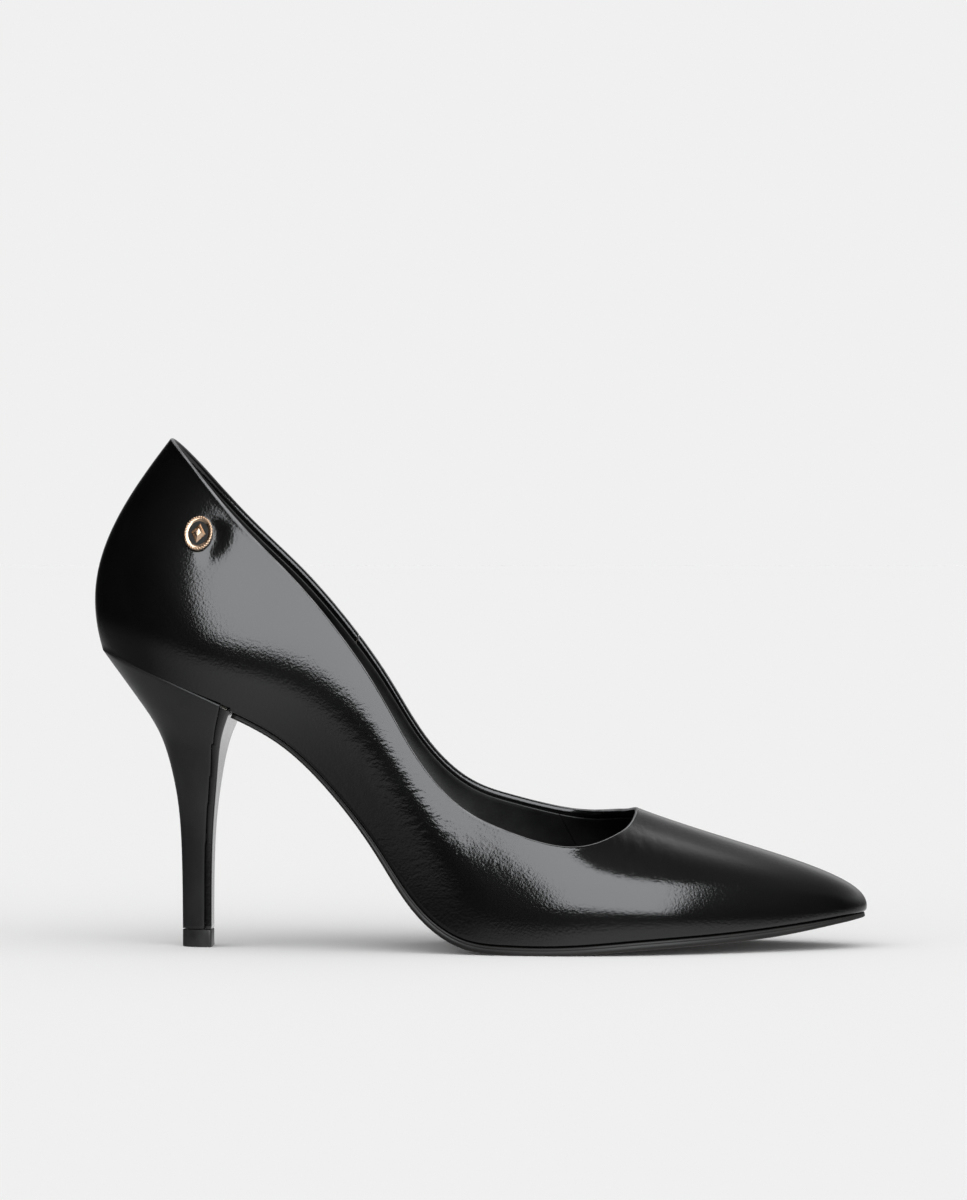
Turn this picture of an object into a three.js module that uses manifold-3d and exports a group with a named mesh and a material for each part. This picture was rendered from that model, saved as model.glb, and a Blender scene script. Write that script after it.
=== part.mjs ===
import * as THREE from 'three';
import { mergeVertices } from 'three/addons/utils/BufferGeometryUtils.js';
import Module from 'manifold-3d';

const wasm = await Module();
wasm.setup();

// A right-foot high heel pump, millimetres, toe along +X, outer (lateral) side along -Y, ground at Z = 0.

// Driving sizes.
const LENGTH = 236.5; // feather line of the upper, back to toe tip
const HEEL_HEIGHT = 89.5; // feather line at the back above the feather line at the ball
const BALL_HALF = 36.5; // feather half width at the ball joints
const SEAT_HALF = 25.5; // feather half width over the heel
const BACK_HEIGHT = 74; // topline above the seat at the back seam
const SIDE_HEIGHT = 30; // topline above the insole at the ball, outer side
const THROAT_X = 165.4; // throat front measured from the back of the feather line
const INFLARE = 7; // swing of the forepart towards the inner side
const CORNER = 3.2; // rounding where the lasted upper turns under the insole
const SOLE = 2.5; // outsole at the ball
const WAIST_SOLE = 1.5; // outsole under the waist
const GAP = 0.33; // glue line between two layers of the upper
const BED = 0.6; // cement bed over the outsole and under the insole boards
const FIT = 0.3; // clearance round every other joint
const SAG = (LENGTH / 236.5) ** 4; // a longer last needs more room over the straight runs between stations
const UPPER = 1.0;
const STIFFENER = 0.6;
const CLOTH = 0.45; // textile interlining
const LINING = 0.6;
const BOARD = 1.6; // insole board
const FOAM = 1.6;
const SOCK = 0.8;
const SHANK = 1.2;
const SHANK_WIDTH = 12;
const TOP_PIECE = 5.4; // wearing heel tip
const TIP_LENGTH = 9.3; // heel tip along X
const TIP_HALF = 4.8; // heel tip half width
const COVER = 0.8; // leather on the heel
const TUBE_OUTER = 2.0; // radius of the steel tube in the heel stem
const TUBE_INNER = 1.3;
const PIN = 1.0; // radius of the top piece pin
const NAIL = 0.8; // radius of a heel nail
const SCREW = 2.0; // radius of the heel screw
const RIVET = 1.2;

const STEPS = 64; // stations round the shoe
const HALF = STEPS / 2;
const BACK_X = -LENGTH / 2 + 0.7;
const BALL_Z = SOLE + BED;

const rad = (degrees) => (degrees * Math.PI) / 180;
const clamp = (value, low, high) => Math.min(Math.max(value, low), high);
const v3 = (x, y, z) => new THREE.Vector3(x, y, z);

// Solves a small set of linear equations.
function solve(rows, right) {
  const n = right.length;
  for (let i = 0; i < n; i += 1) {
    for (let r = i + 1; r < n; r += 1) {
      const f = rows[r][i] / rows[i][i];
      for (let c = i; c < n; c += 1) rows[r][c] -= f * rows[i][c];
      right[r] -= f * right[i];
    }
  }
  for (let i = n - 1; i >= 0; i -= 1) {
    for (let c = i + 1; c < n; c += 1) right[i] -= rows[i][c] * right[c];
    right[i] /= rows[i][i];
  }
  return right;
}

// Smooth curve through knots [x, y]: curvature is continuous and dies out at both ends.
function fair(knots) {
  const n = knots.length;
  const rows = knots.map(() => new Array(n).fill(0));
  const right = new Array(n).fill(0);
  rows[0][0] = 1;
  rows[n - 1][n - 1] = 1;
  for (let i = 1; i < n - 1; i += 1) {
    const before = knots[i][0] - knots[i - 1][0];
    const after = knots[i + 1][0] - knots[i][0];
    rows[i][i - 1] = before;
    rows[i][i] = 2 * (before + after);
    rows[i][i + 1] = after;
    right[i] = 6 * ((knots[i + 1][1] - knots[i][1]) / after - (knots[i][1] - knots[i - 1][1]) / before);
  }
  const bend = solve(rows, right);
  return (x) => {
    let i = 0;
    while (i < n - 2 && x > knots[i + 1][0]) i += 1;
    const [x0, y0] = knots[i];
    const [x1, y1] = knots[i + 1];
    const h = x1 - x0;
    const a = (x1 - x) / h;
    const b = (x - x0) / h;
    const curve = ((a ** 3 - a) * bend[i] + (b ** 3 - b) * bend[i + 1]) * ((h * h) / 6);
    return a * y0 + b * y1 + curve;
  };
}

// Smooth closed run of a value round the shoe. The nine stations go from the back (0) along one side to the
// toe (1); the inner side carries its own nine where they differ.
function ring(outer, inner = outer) {
  const loop = [...outer, ...inner.slice(1, 8).reverse()];
  const wrapped = [];
  for (let k = -4; k <= loop.length + 4; k += 1) {
    wrapped.push([k / 8, loop[(k + loop.length) % loop.length]]);
  }
  const curve = fair(wrapped);
  return (t) => curve(((t % 2) + 2) % 2);
}

// Height of the feather line over the ground along the shoe: the seat, the arch, the ball and the toe spring.
const bottomCurve = fair([
  [-0.5, 1], [-0.41, 0.895], [-0.32, 0.788], [-0.243, 0.668], [-0.18, 0.5], [-0.125, 0.31], [-0.09, 0.172],
  [-0.054, 0.072], [-0.018, 0.02], [0.03, 0.002], [0.1, 0], [0.2, 0.018], [0.3, 0.035], [0.42, 0.066],
  [0.5, 0.095],
]);
const bottom = (x) => BALL_Z + HEEL_HEIGHT * bottomCurve((x - BACK_X) / LENGTH - 0.5);

function bottomNormal(x) {
  const slope = (bottom(x + 0.5) - bottom(x - 0.5));
  return v3(-slope, 0, 1).normalize();
}

const halfWidth = ring(
  [2.08 * SEAT_HALF, 1.9 * SEAT_HALF, 1.41 * SEAT_HALF, 0.675 * BALL_HALF, 0.885 * BALL_HALF, 1.08 * BALL_HALF,
    0.97 * BALL_HALF, 0.85 * BALL_HALF, 0.86 * BALL_HALF],
  [2.08 * SEAT_HALF, 1.9 * SEAT_HALF, 1.41 * SEAT_HALF, 0.52 * BALL_HALF, 0.79 * BALL_HALF, 1.06 * BALL_HALF,
    1.0 * BALL_HALF, 0.88 * BALL_HALF, 0.86 * BALL_HALF],
);

const swing = (x) => INFLARE * THREE.MathUtils.smoothstep(x, BACK_X + 0.35 * LENGTH, BACK_X + LENGTH);

function featherPlan(t) {
  const x = BACK_X + (LENGTH / 2) * (1 - Math.cos(Math.PI * t));
  return [x, swing(x) - halfWidth(t) * Math.sin(Math.PI * t)];
}

function feather(t) {
  const [x, y] = featherPlan(t);
  return v3(x, y, bottom(x));
}

// The topline: how far along the shoe, how far out, and how high over the feather line it runs.
const throat = THROAT_X / LENGTH;
const toplineX = ring([0.0917, 0.127, 0.229, 0.364, 0.5, 0.61, 0.668, 0.693, throat],
  [0.0917, 0.128, 0.229, 0.367, 0.505, 0.614, 0.671, 0.695, throat]);
const toplineOut = ring([1, 0.967, 0.79, 0.714, 0.78, 0.877, 0.82, 0.758, 0.74].map((k) => k * BALL_HALF));
const toplineRise = ring(
  [BACK_HEIGHT, 0.92 * BACK_HEIGHT, 0.72 * BACK_HEIGHT, 1.57 * SIDE_HEIGHT, 1.235 * SIDE_HEIGHT,
    0.99 * SIDE_HEIGHT, 1.09 * SIDE_HEIGHT, 1.18 * SIDE_HEIGHT, 1.27 * SIDE_HEIGHT],
  [BACK_HEIGHT, 0.933 * BACK_HEIGHT, 0.75 * BACK_HEIGHT, 1.675 * SIDE_HEIGHT, 1.46 * SIDE_HEIGHT,
    1.27 * SIDE_HEIGHT, 1.25 * SIDE_HEIGHT, 1.26 * SIDE_HEIGHT, 1.27 * SIDE_HEIGHT],
);

function topline(t) {
  const x = BACK_X + LENGTH * toplineX(t);
  return v3(x, swing(x) - Math.sin(Math.PI * t) * toplineOut(t), bottom(x) + toplineRise(t));
}

// Direction of the wall where it reaches the topline, and how full the wall is at either end.
const leanX = ring([0.61, 0.5, 0.36, 0.3, 0, -0.5, -0.85, -0.92, -0.934]);
const leanIn = ring([0.4, 0.42, 0.37, 0.38, 0.22, 0.39, 0.31, 0.21, 0.15]);
const leanUp = ring([0.79, 0.84, 0.9, 0.92, 0.96, 0.79, 0.42, 0.37, 0.357]);
const wallLean = ring([42, 30, 18, 20, 6, 8, 7, 4, 2]);
const footFull = ring([0.37, 0.36, 0.34, 0.33, 0.36, 0.38, 0.25, 0.16, 0.14]);
const topFull = ring([0.4, 0.38, 0.37, 0.38, 0.33, 0.36, 0.42, 0.43, 0.43]);
const margin = ring([9, 9, 9, 8, 9, 10, 8, 4, 3]);

// Everything needed to draw one rib of the upper: under the insole, round the feather edge, up to the topline.
function rib(t) {
  const foot = feather(t);
  const along = feather(t + 0.002).sub(feather(t - 0.002)).normalize();
  const up = bottomNormal(foot.x);
  const out = along.clone().cross(up).normalize();
  up.copy(out).cross(along).normalize();
  const lean = rad(wallLean(t));
  const centre = foot.clone().addScaledVector(out, -CORNER).addScaledVector(up, CORNER);
  const start = centre.clone()
    .addScaledVector(out, CORNER * Math.cos(lean))
    .addScaledVector(up, -CORNER * Math.sin(lean));
  const rise = up.clone().multiplyScalar(Math.cos(lean)).addScaledVector(out, Math.sin(lean));
  const top = topline(t);
  const reach = v3(leanX(t), Math.sin(Math.PI * t) * leanIn(t), leanUp(t)).normalize();
  const chord = start.distanceTo(top);
  return {
    foot, up, out, lean, centre,
    wall: [
      start,
      start.clone().addScaledVector(rise, footFull(t) * chord),
      top.clone().addScaledVector(reach, -topFull(t) * chord),
      top,
    ],
    margin: margin(t),
  };
}

function onRib(r, p) {
  if (p <= 1) {
    const under = r.foot.clone().addScaledVector(r.out, -CORNER - r.margin * (1 - p));
    return under.setZ(bottom(under.x));
  }
  if (p <= 2) {
    const turn = (p - 1) * (Math.PI / 2 - r.lean);
    return r.centre.clone()
      .addScaledVector(r.up, -CORNER * Math.cos(turn))
      .addScaledVector(r.out, CORNER * Math.sin(turn));
  }
  const u = p - 2;
  const w = [(1 - u) ** 3, 3 * u * (1 - u) ** 2, 3 * u * u * (1 - u), u ** 3];
  const point = v3(0, 0, 0);
  r.wall.forEach((corner, i) => point.addScaledVector(corner, w[i]));
  return point;
}

// A point of the upper, moved inwards through the layers by `depth`.
function onUpper(t, p, depth) {
  const here = onRib(rib(t), p);
  if (depth === 0) return here;
  const step = 0.004;
  const ahead = onRib(rib(t + step), p).sub(onRib(rib(t - step), p));
  const r = rib(t);
  const climb = onRib(r, Math.min(p + step, 3)).sub(onRib(r, Math.max(p - step, 0)));
  return here.addScaledVector(climb.cross(ahead).normalize(), depth);
}

// Rows of ribs used by every layer: two under the insole, three round the edge, then up the wall.
const ROWS = [0, 0.6, 1, 1.35, 1.7, 2, 2.12, 2.26, 2.42, 2.44, 2.6, 2.74, 2.85, 2.87, 3];
const station = (i) => (i * 2) / STEPS;

// Closed body between an outer and an inner grid of points; a run that closes on itself has no end walls.
function body(columns, rows, place, closed = false) {
  const points = [];
  const faces = [];
  const id = (i, j, layer) => ((closed ? i % columns : i) * (rows + 1) + j) * 2 + layer;
  const across = closed ? columns - 1 : columns;
  for (let i = 0; i <= across; i += 1) {
    for (let j = 0; j <= rows; j += 1) {
      points.push(...place(i, j, 0).toArray(), ...place(i, j, 1).toArray());
    }
  }
  const quad = (a, b, c, d) => faces.push(a, b, c, a, c, d);
  for (let i = 0; i < columns; i += 1) {
    for (let j = 0; j < rows; j += 1) {
      quad(id(i, j, 0), id(i, j + 1, 0), id(i + 1, j + 1, 0), id(i + 1, j, 0));
      quad(id(i, j, 1), id(i + 1, j, 1), id(i + 1, j + 1, 1), id(i, j + 1, 1));
    }
    quad(id(i, 0, 0), id(i + 1, 0, 0), id(i + 1, 0, 1), id(i, 0, 1));
    quad(id(i, rows, 0), id(i, rows, 1), id(i + 1, rows, 1), id(i + 1, rows, 0));
  }
  if (!closed) {
    for (let j = 0; j < rows; j += 1) {
      quad(id(0, j, 0), id(0, j, 1), id(0, j + 1, 1), id(0, j + 1, 0));
      quad(id(columns, j, 0), id(columns, j + 1, 0), id(columns, j + 1, 1), id(columns, j, 1));
    }
  }
  return weld(points, faces);
}

// Joins points that coincide, drops the faces that vanish, and turns the body so that it faces outwards.
function weld(points, faces) {
  const raw = new THREE.BufferGeometry();
  raw.setAttribute('position', new THREE.Float32BufferAttribute(points, 3));
  raw.setIndex(faces);
  const geometry = mergeVertices(raw, 1e-3);
  const kept = [];
  const index = geometry.index.array;
  for (let f = 0; f < index.length; f += 3) {
    const [a, b, c] = [index[f], index[f + 1], index[f + 2]];
    if (a !== b && b !== c && c !== a) kept.push(a, b, c);
  }
  const at = geometry.attributes.position;
  let volume = 0;
  const [p, q, s] = [v3(0, 0, 0), v3(0, 0, 0), v3(0, 0, 0)];
  for (let f = 0; f < kept.length; f += 3) {
    p.fromBufferAttribute(at, kept[f]);
    q.fromBufferAttribute(at, kept[f + 1]);
    s.fromBufferAttribute(at, kept[f + 2]);
    volume += p.dot(q.cross(s));
  }
  if (volume < 0) {
    for (let f = 0; f < kept.length; f += 3) [kept[f], kept[f + 1]] = [kept[f + 1], kept[f]];
  }
  geometry.setIndex(kept);
  return geometry;
}

function solid(geometry) {
  const clean = geometry.clone();
  ['normal', 'uv'].forEach((name) => clean.deleteAttribute(name));
  const joined = mergeVertices(clean, 1e-4);
  return new wasm.Manifold(new wasm.Mesh({
    numProp: 3,
    vertProperties: new Float32Array(joined.attributes.position.array),
    triVerts: new Uint32Array(joined.index.array),
  }));
}

function drilled(geometry, cutters) {
  let left = solid(geometry);
  cutters.forEach((cutter) => {
    left = left.subtract(solid(cutter));
  });
  const mesh = left.getMesh();
  const result = new THREE.BufferGeometry();
  result.setAttribute('position', new THREE.Float32BufferAttribute(mesh.vertProperties, 3));
  result.setIndex(Array.from(mesh.triVerts));
  return result;
}

// Part of a layer of the upper: from one station and row to another, between two depths. Its two ends stop a
// little short, on the straight run to the next station, so that neighbours leave a seam between them.
const SEAM = 0.04;

function patch(first, last, low, high, outer, inner) {
  const rows = ROWS.filter((p) => p >= low && p <= high);
  const closed = last - first === STEPS;
  return body(last - first, rows.length - 1, (i, j, layer) => {
    const depth = layer === 0 ? outer : inner;
    const here = onUpper(station(first + i), rows[j], depth);
    if (closed || (i > 0 && i < last - first)) return here;
    return here.lerp(onUpper(station(first + i + (i === 0 ? 1 : -1)), rows[j], depth), SEAM);
  }, closed);
}

// Edge of a flat layer inside the shoe: as wide as the lining leaves it between two heights over the feather
// line.
function innerEdge(t, low, high) {
  const r = rib(t);
  let inset = 0;
  for (let p = 2; p <= 2.8; p += 0.04) {
    const wall = onUpper(t, p, 2 * GAP + UPPER + STIFFENER + LINING + FIT * SAG);
    const rise = wall.clone().sub(r.foot).dot(r.up);
    if (p === 2 || (rise > low - 1 && rise < high + 1)) {
      inset = Math.max(inset, r.foot.clone().sub(wall).dot(r.out) + (high > BOARD_HIGH ? FIT : 0));
    }
  }
  return r.foot.clone().addScaledVector(r.out, -inset);
}

// Outline of a flat layer: its two ends and its two sides as it runs along the shoe.
function outline(edge) {
  const run = (from, to) => {
    const points = [];
    for (let k = 0; k <= 160; k += 1) points.push(edge(from + ((to - from) * k) / 160));
    return points;
  };
  const sides = [run(0, 1), run(2, 1)];
  const across = (points, x) => {
    let k = 1;
    while (k < points.length - 1 && points[k].x < x) k += 1;
    const [a, b] = [points[k - 1], points[k]];
    return a.y + (b.y - a.y) * clamp((x - a.x) / (b.x - a.x || 1), 0, 1);
  };
  return { from: sides[0][0].x, to: sides[0][160].x, at: (x) => sides.map((points) => across(points, x)) };
}

const stationX = (i) => BACK_X + (LENGTH / 2) * (1 - Math.cos(Math.PI * station(i)));

// Bent plate under the foot, in columns that run across the shoe from the outer edge to the inner one. A plate
// that reaches a rounded end of its outline takes closer columns there.
function plate(first, last, edge, low, high, share = 1) {
  const rim = outline(edge);
  const columns = [];
  for (let i = 0; i <= HALF; i += 1 / share) {
    const x = stationX(i);
    const trim = i === first ? JOIN_GAP : i === last ? -JOIN_GAP : 0;
    if (x > rim.from + 4.5 && x < rim.to - 4.5 && i >= first && i <= last) columns.push(x + trim);
  }
  const rounding = [0, 0.25, 1, 2.2];
  if (first === 0) columns.unshift(...rounding.map((d) => rim.from + d));
  if (last === HALF) columns.push(...rounding.map((d) => rim.to - d).reverse());
  return body(columns.length - 1, 1, (i, j, layer) => {
    const x = columns[i];
    const tip = x === rim.from || x === rim.to;
    const [outer, inner] = rim.at(x);
    const y = tip ? (outer + inner) / 2 : j === 0 ? outer : inner;
    return v3(x, y, bottom(x)).addScaledVector(bottomNormal(x), layer === 0 ? low(x) : high(x));
  });
}

const flat = (value) => () => value;

// Stack of layers under the foot, measured up from the top of the outsole.
const FLANGE = 2 * GAP + UPPER + STIFFENER + LINING;
const BOARD_LOW = FLANGE + BED;
const BOARD_HIGH = BOARD_LOW + BOARD;
const FOAM_LOW = BOARD_HIGH + FIT;
const FOAM_HIGH = FOAM_LOW + FOAM;
const SOCK_LOW = FOAM_HIGH + FIT;
const SOCK_HIGH = SOCK_LOW + SOCK;
const SHANK_LOW = FLANGE - SHANK;

const BREAST = 9; // station of the heel breast
const JOIN = 17; // station where the two insole boards meet
const JOIN_GAP = 0.15;

function soleEdge(t) {
  const r = rib(t);
  const tuck = THREE.MathUtils.smoothstep(r.foot.x, BACK_X + 0.3 * LENGTH, BACK_X + 0.55 * LENGTH);
  return r.foot.clone().addScaledVector(r.out, 0.3 - 2 * (1 - tuck));
}

function soleThickness(x) {
  const share = THREE.MathUtils.smoothstep(x, BACK_X + 0.3 * LENGTH, BACK_X + 0.5 * LENGTH);
  return WAIST_SOLE + (SOLE - WAIST_SOLE) * share;
}

function outsole() {
  const skin = plate(BREAST, HALF, soleEdge, flat(-BED), (x) => -BED - soleThickness(x) - 0.12, 2);
  const ground = new THREE.BoxGeometry(2 * LENGTH, 4 * BALL_HALF, 20).translate(0, 0, -10);
  return drilled(skin, [ground]);
}

const insideFlange = (t) => {
  const r = rib(t);
  return r.foot.clone().addScaledVector(r.out, -CORNER - r.margin - FIT);
};

// The heel: a block that sweeps from the tilted seat down to an upright stem.
const heelBack = {
  x: fair([
    [0, -0.493], [0.15, -0.452], [0.3, -0.4235], [0.45, -0.4075], [0.62, -0.398], [0.8, -0.3945], [1, -0.3935],
  ]),
  z: fair([[0, 1.012], [0.15, 0.85], [0.3, 0.72], [0.45, 0.58], [0.62, 0.42], [0.8, 0.23], [1, 0]]),
};
const heelFront = {
  x: fair([
    [0, -0.3245], [0.15, -0.3355], [0.3, -0.342], [0.45, -0.3465], [0.62, -0.351], [0.8, -0.3535], [1, -0.354],
  ]),
  z: fair([[0, 0.79], [0.15, 0.71], [0.3, 0.62], [0.45, 0.52], [0.62, 0.39], [0.8, 0.22], [1, 0]]),
};
const heelHalf = fair([
  [0, 0.975], [0.15, 0.72], [0.3, 0.48], [0.45, 0.315], [0.62, 0.225], [0.8, 0.195], [1, 0.19],
]);
const heelRound = fair([[0, 2.5], [0.5, 2.1], [1, 2]]);
const STEM_X = BACK_X + (0.5 - 0.3935) * LENGTH + TIP_LENGTH / 2;

function heelPoint(w, turn, inset, front) {
  const reach = HEEL_HEIGHT - TOP_PIECE - FIT;
  const place = (curve) => v3(BACK_X + LENGTH * (0.5 + curve.x(w)), 0, TOP_PIECE + FIT + reach * curve.z(w));
  const back = place(heelBack);
  const ahead = place(heelFront);
  const run = ahead.clone().sub(back);
  const depth = run.length();
  run.normalize();
  const power = 2 / heelRound(w);
  const half = Math.max(heelHalf(w) * SEAT_HALF, TIP_HALF) - inset;
  const length = depth - inset - front;
  const along = inset + length * (1 - Math.cos(turn) ** power);
  const out = half * Math.sign(turn) * Math.abs(Math.sin(turn)) ** power;
  return back.addScaledVector(run, along).setY(out);
}

const TURNS = 24;
const LEVELS = 16;
const turnAt = (i) => rad(-90 + (180 * i) / TURNS);

function aboveSeat() {
  const high = 60;
  return body(TURNS, 1, (i, j, layer) => {
    const x = BACK_X - 12 + (70 * i) / TURNS;
    const up = bottomNormal(x).multiplyScalar(layer === 0 ? -FIT : high);
    return v3(x, j === 0 ? -40 : 40, bottom(x)).add(up);
  });
}

function heelShell(outer, inner, front) {
  return body(TURNS, LEVELS, (i, j, layer) => heelPoint(j / LEVELS - 0.04 * (1 - j / LEVELS), turnAt(i),
    layer === 0 ? outer : inner, front));
}

function heelBlock(inset, front) {
  return body(TURNS / 2, LEVELS, (i, j, layer) => heelPoint(j / LEVELS - 0.04 * (1 - j / LEVELS),
    (layer === 0 ? -1 : 1) * turnAt(TURNS / 2 + i), inset, front));
}

const rod = (radius, low, high, x) => new THREE.CylinderGeometry(radius, radius, high - low, 20)
  .rotateX(Math.PI / 2).translate(x, 0, (low + high) / 2);

const TUBE_LOW = TOP_PIECE + FIT;
const TUBE_HIGH = 0.64 * HEEL_HEIGHT;

const heelCover = () => drilled(heelShell(0, COVER, COVER + FIT), [aboveSeat()]);

function breastCover() {
  const strip = body(8, LEVELS, (i, j, layer) => {
    const w = j / LEVELS - 0.04 * (1 - j / LEVELS);
    const corner = heelPoint(w, Math.PI / 2, 0, layer === 0 ? 0 : COVER);
    return corner.setY(corner.y * ((2 * i) / 8 - 1));
  });
  return drilled(strip, [aboveSeat()]);
}

// Fasteners stand square to the seat, at a distance from the back and from the middle line.
function fastener(geometry, x, y, height) {
  const up = bottomNormal(x);
  const tilt = Math.atan2(up.x, up.z);
  const base = v3(x, y, bottom(x)).addScaledVector(up, height);
  return geometry.rotateX(Math.PI / 2).rotateY(tilt).translate(base.x, base.y, base.z);
}

function pin(radius, headRadius, headHeight, length, x, y, top, extra = 0) {
  const profile = [[0, -length - extra], [radius + extra, -length - extra], [radius + extra, 0],
    [headRadius + extra, 0], [headRadius + extra, headHeight], [0, headHeight]];
  const turned = new THREE.LatheGeometry(profile.map(([r, h]) => new THREE.Vector2(r, h)), 16);
  return fastener(turned, x, y, top);
}

const SCREW_X = BACK_X + 0.118 * LENGTH;
const RIVET_X = [BACK_X + 0.165 * LENGTH, BACK_X + 0.41 * LENGTH];
const NAILS = [
  [BACK_X + 0.088 * LENGTH, -0.3 * SEAT_HALF], [BACK_X + 0.088 * LENGTH, 0.3 * SEAT_HALF],
  [BACK_X + 0.145 * LENGTH, -0.39 * SEAT_HALF], [BACK_X + 0.145 * LENGTH, 0.39 * SEAT_HALF],
];

const heelScrew = (extra = 0) => pin(SCREW, 3.6, 1.2, 17, SCREW_X, 0, BOARD_HIGH + 0.05, extra);
const heelNail = ([x, y], extra = 0) => pin(NAIL, 1.9, 0.8, 15, x, y, BOARD_HIGH + 0.05, extra);
const RIVET_HEAD = 2.6;
const RIVET_HEAD_HEIGHT = 0.8;
const shankRivet = (x, extra = 0) => pin(
  RIVET, RIVET_HEAD, RIVET_HEAD_HEIGHT, BOARD_HIGH - SHANK_LOW - 0.4, x, 0, BOARD_HIGH + 0.05, extra,
);

const fasteners = (extra) => [
  heelScrew(extra),
  ...NAILS.map((nail) => heelNail(nail, extra)),
  ...RIVET_X.map((x) => shankRivet(x, extra)),
];

function strap(first, last, half, low, high) {
  return body(last - first, 1, (i, j, layer) => {
    const x = stationX(first + i);
    return v3(x, 0.55 * swing(x) + (j === 0 ? -half : half), bottom(x))
      .addScaledVector(bottomNormal(x), layer === 0 ? low : high);
  });
}

// The ornament on the outer quarter: an oval plaque with a beaded rim and a lozenge boss, on two posts.
const EMBLEM = {
  along: 0.1715, row: 2.789, turn: 14, wide: 9.3, tall: 11.7, rim: 1.1, field: 0.6, stand: 0.45, post: 0.6,
};

function emblemFrame() {
  const centre = onUpper(EMBLEM.along, EMBLEM.row, -EMBLEM.stand);
  const up = onUpper(EMBLEM.along, EMBLEM.row + 0.05, 0)
    .sub(onUpper(EMBLEM.along, EMBLEM.row - 0.05, 0)).normalize();
  const ahead = onUpper(EMBLEM.along + 0.01, EMBLEM.row, 0)
    .sub(onUpper(EMBLEM.along - 0.01, EMBLEM.row, 0)).normalize();
  const out = ahead.clone().cross(up).normalize();
  return new THREE.Matrix4().makeBasis(up.clone().cross(out).normalize(), up, out).setPosition(centre)
    .multiply(new THREE.Matrix4().makeRotationZ(rad(EMBLEM.turn)));
}

function emblemPost(offset, radius) {
  const length = EMBLEM.stand + UPPER + GAP + STIFFENER;
  return new THREE.CylinderGeometry(radius, radius, length + EMBLEM.field, 12).rotateX(Math.PI / 2)
    .translate(0, offset, (EMBLEM.field - length) / 2).applyMatrix4(emblemFrame());
}

function emblem() {
  const tall = EMBLEM.tall / 2;
  const profile = [[0, 0], [tall, 0], [tall, 0.7], [tall - 0.3, EMBLEM.rim], [tall - 0.8, EMBLEM.rim],
    [tall - 1.2, EMBLEM.field], [0, EMBLEM.field]];
  const plaque = new THREE.LatheGeometry(profile.map(([r, h]) => new THREE.Vector2(r, h)), 32)
    .rotateX(Math.PI / 2).scale(EMBLEM.wide / EMBLEM.tall, 1, 1);
  const boss = new THREE.ConeGeometry(2.6, 1.4, 4).rotateX(Math.PI / 2).translate(0, 0, EMBLEM.field + 0.2)
    .scale(0.75, 1, 1);
  const metal = solid(plaque.applyMatrix4(emblemFrame())).add(solid(boss.applyMatrix4(emblemFrame())))
    .add(solid(emblemPost(-3.2, EMBLEM.post))).add(solid(emblemPost(3.2, EMBLEM.post)));
  const mesh = metal.getMesh();
  const result = new THREE.BufferGeometry();
  result.setAttribute('position', new THREE.Float32BufferAttribute(mesh.vertProperties, 3));
  result.setIndex(Array.from(mesh.triVerts));
  return result;
}

const postHoles = () => [emblemPost(-3.2, EMBLEM.post + FIT), emblemPost(3.2, EMBLEM.post + FIT)];

const look = (color, roughness, metalness = 0) => new THREE.MeshStandardMaterial({
  color, roughness, metalness,
});
const gloss = look('#0b0b0c', 0.25);
const calf = look('#1a1917', 0.6);
const suede = look('#151413', 0.9);
const fibre = look('#9a7b55', 0.85);
const textile = look('#d8d2c4', 0.95);
const steel = look('#9aa0a6', 0.35, 1);
const gold = look('#d9b56a', 0.25, 1);
const plastic = look('#ded9cc', 0.5);
const rubber = look('#151515', 0.6);
const soleLeather = look('#2a201a', 0.5);
const foam = look('#c9bfae', 0.95);

const part = new THREE.Group();
part.name = 'high_heel_pump';

function add(name, geometry, material) {
  const flatShaded = geometry.index ? geometry.toNonIndexed() : geometry;
  flatShaded.computeVertexNormals();
  const mesh = new THREE.Mesh(mergeVertices(flatShaded, 1e-4), material);
  mesh.name = name;
  part.add(mesh);
}

// Layer depths through the upper, from the outer face inwards.
const STIFF_OUT = UPPER + GAP;
const STIFF_IN = STIFF_OUT + STIFFENER;
const LINING_OUT = STIFF_IN + GAP;
const LINING_IN = LINING_OUT + LINING;
const GRIP_OUT = LINING_IN + GAP;
const SIDE_SEAM = 53; // station of the seam on the inner side
const COUNTER = 9; // stations covered by the heel counter on either side
const PUFF = 24; // first station of the toe puff

add('upper_vamp_and_outer_quarter', drilled(patch(0, SIDE_SEAM, 0, 3, 0, UPPER), postHoles()), gloss);
add('upper_inner_quarter', patch(SIDE_SEAM, STEPS, 0, 3, 0, UPPER), gloss);
add('heel_counter', drilled(patch(-COUNTER, COUNTER, 0.6, 2.85, STIFF_OUT, STIFF_IN), postHoles()), fibre);
add('toe_puff', patch(PUFF, STEPS - PUFF, 0.6, 2.42, STIFF_OUT, STIFF_IN), plastic);
add('vamp_interlining', patch(PUFF, STEPS - PUFF, 2.44, 2.85, STIFF_OUT, STIFF_OUT + CLOTH), textile);
add('outer_quarter_interlining', patch(COUNTER, PUFF, 0.6, 2.85, STIFF_OUT, STIFF_OUT + CLOTH), textile);
add('inner_quarter_interlining',
  patch(STEPS - PUFF, STEPS - COUNTER, 0.6, 2.85, STIFF_OUT, STIFF_OUT + CLOTH), textile);
add('topline_tape', patch(0, STEPS, 2.87, 3, STIFF_OUT, STIFF_OUT + CLOTH), textile);
add('vamp_lining', patch(PUFF - 5, STEPS - PUFF + 5, 0.6, 3, LINING_OUT, LINING_IN), calf);
add('quarter_lining', patch(-(PUFF - 5), PUFF - 5, 0.6, 3, LINING_OUT, LINING_IN), calf);
add('heel_grip', patch(-5, 5, 2.26, 2.87, GRIP_OUT, GRIP_OUT + 0.5), suede);

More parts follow.
